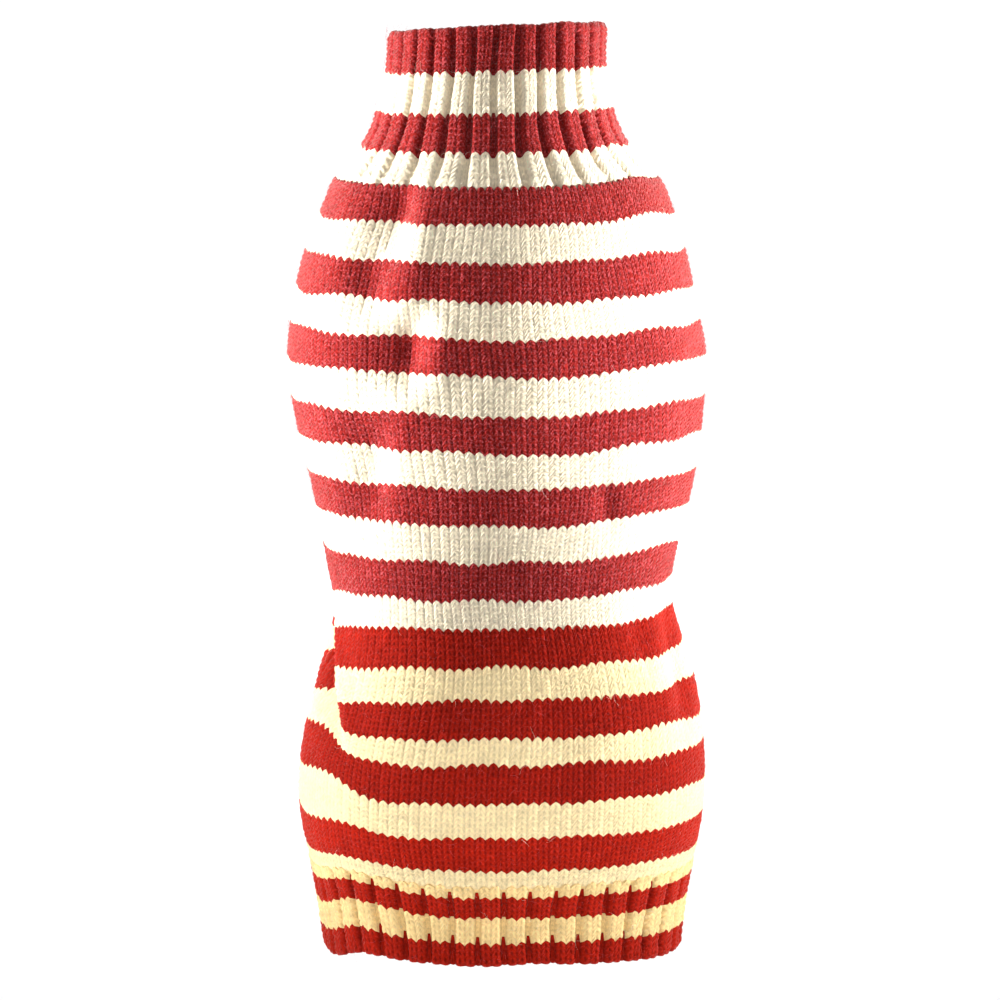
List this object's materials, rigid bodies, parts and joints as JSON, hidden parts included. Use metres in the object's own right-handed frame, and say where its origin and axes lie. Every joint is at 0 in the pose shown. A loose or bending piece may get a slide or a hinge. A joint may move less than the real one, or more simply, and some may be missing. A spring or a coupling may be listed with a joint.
{
  "type": "dog sweater",
  "caption": "Hollow knitted dog sweater, filled out as when worn, with a high ribbed neck, striped body, two leg holes with ribbed cuffs and a ribbed hem.",
  "frame": {"origin": "centre of the seam between the high neck and the body, where the wearer's neck holds the sweater", "axes": "+Z along the garment towards the neck rim; the back faces -Y and the belly with the leg holes faces +Y; +X is the side seam on the right as the back is seen"},
  "size_m": [0.1499, 0.1318, 0.334],
  "materials": {
    "stocking_stitch_knit": "striped brushed acrylic yarn in stocking stitch, cream and red",
    "rib_knit": "striped brushed acrylic yarn in two-by-one rib, red and cream",
    "cuff_knit": "red brushed acrylic yarn in two-by-one rib"
  },
  "bodies": {
    "root": {"collar": "rib_knit", "back_panel": "stocking_stitch_knit", "belly_panel": "stocking_stitch_knit", "leg_cuff_left": "cuff_knit", "leg_cuff_right": "cuff_knit", "hem_band": "rib_knit"}
  },
  "joints": []
}
